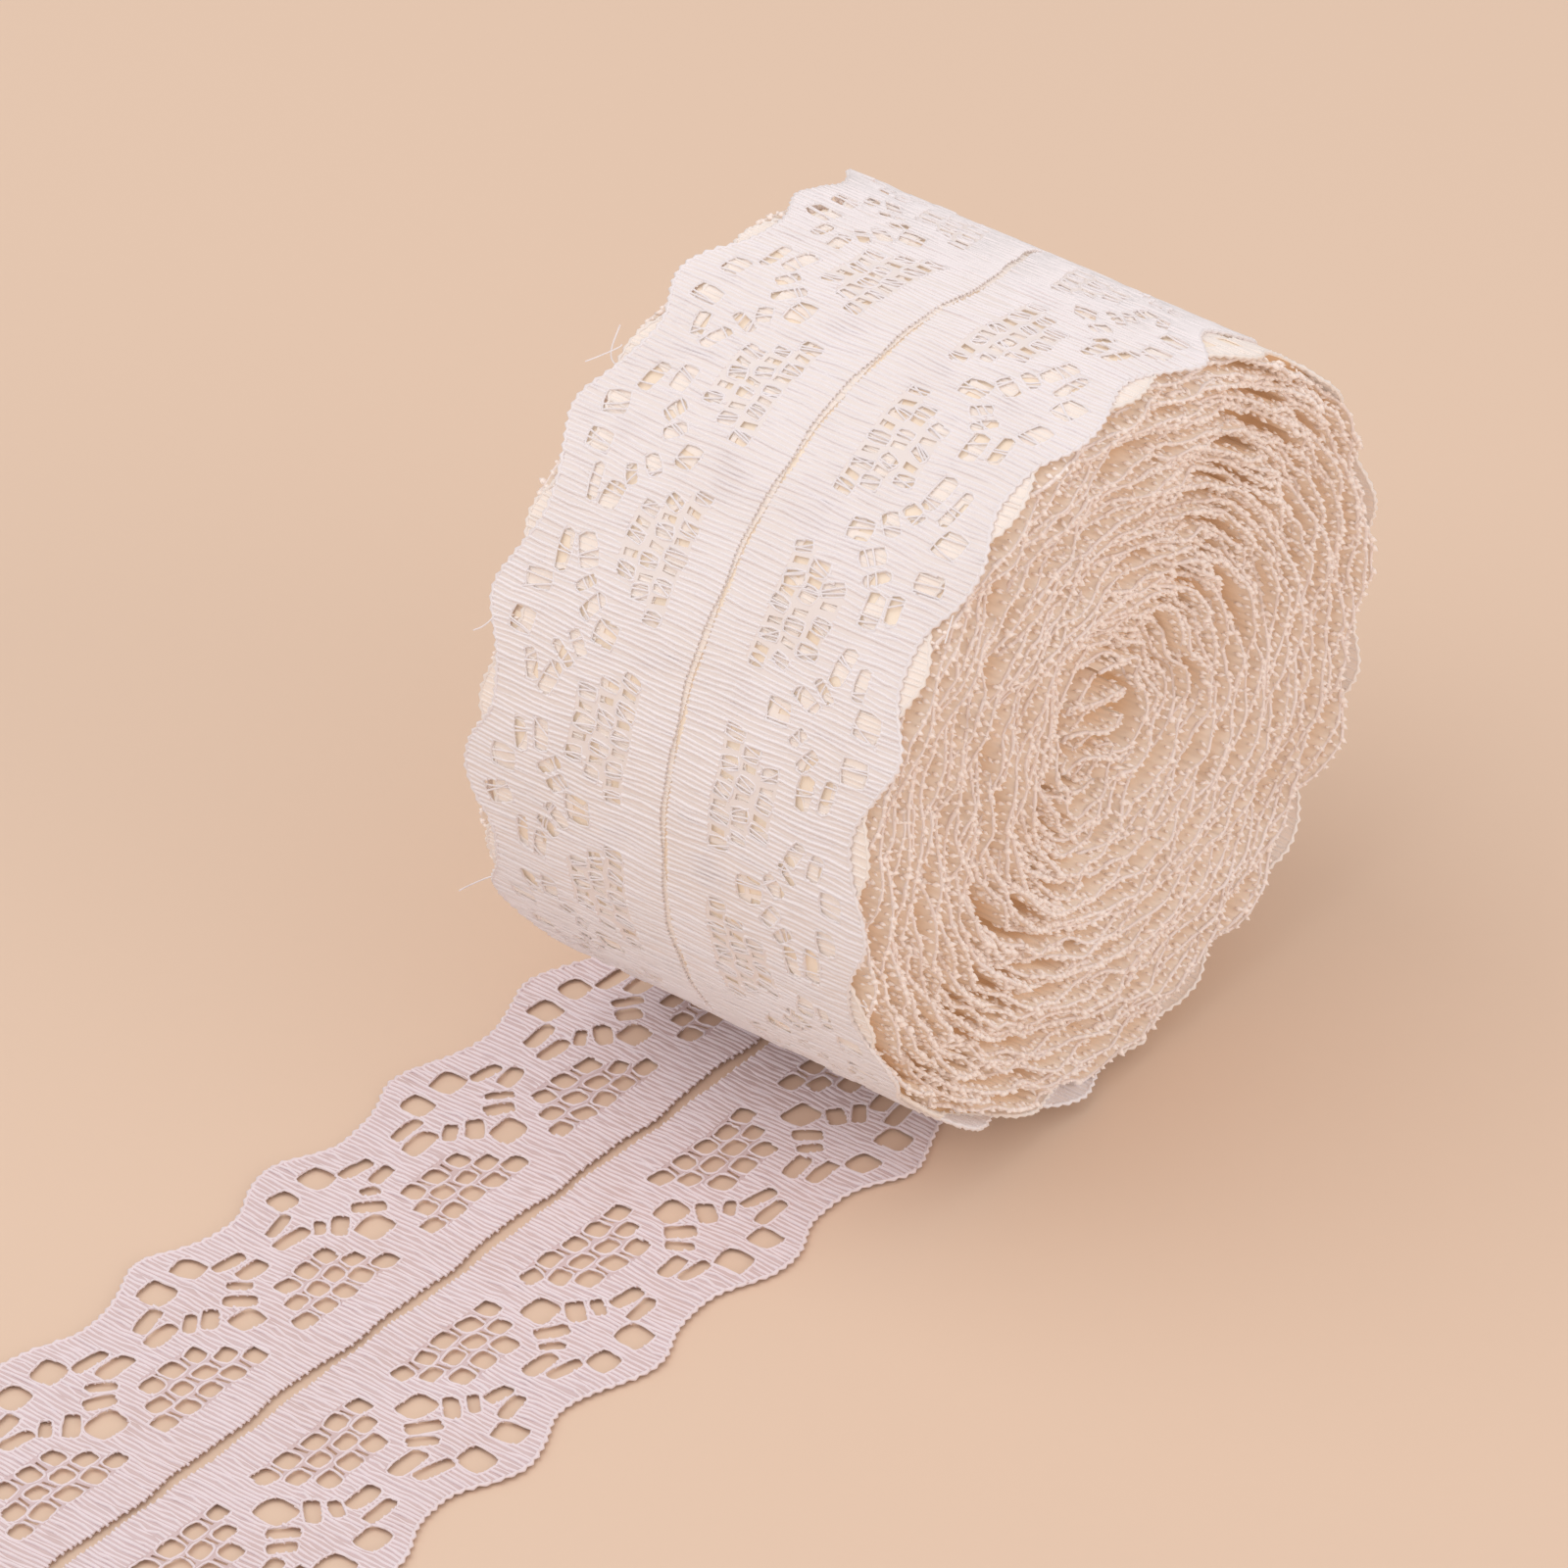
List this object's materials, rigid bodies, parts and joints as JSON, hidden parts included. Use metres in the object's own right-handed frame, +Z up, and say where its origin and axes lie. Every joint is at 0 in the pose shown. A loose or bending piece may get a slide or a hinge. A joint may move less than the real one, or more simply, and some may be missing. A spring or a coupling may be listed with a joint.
{
  "type": "roll of scalloped lace ribbon with a loose end",
  "caption": "Coreless roll of scalloped lace ribbon lying on its side, its outer end unrolled flat in front of it.",
  "frame": {"origin": "on the surface that the part rests on, straight below the middle of the roll", "axes": "+X along the ribbon from its cut end towards the roll, +Y along the roll's axis away from its near end face, +Z up"},
  "size_m": [0.1639, 0.0517, 0.0736],
  "materials": {
    "lace_roll": "soft matt knitted polyester lace, wound, ivory",
    "loose_end": "soft matt knitted polyester lace, one open layer, ivory with a pink tinge"
  },
  "bodies": {
    "root": {"lace_roll": "lace_roll", "loose_end": "loose_end"}
  },
  "joints": []
}
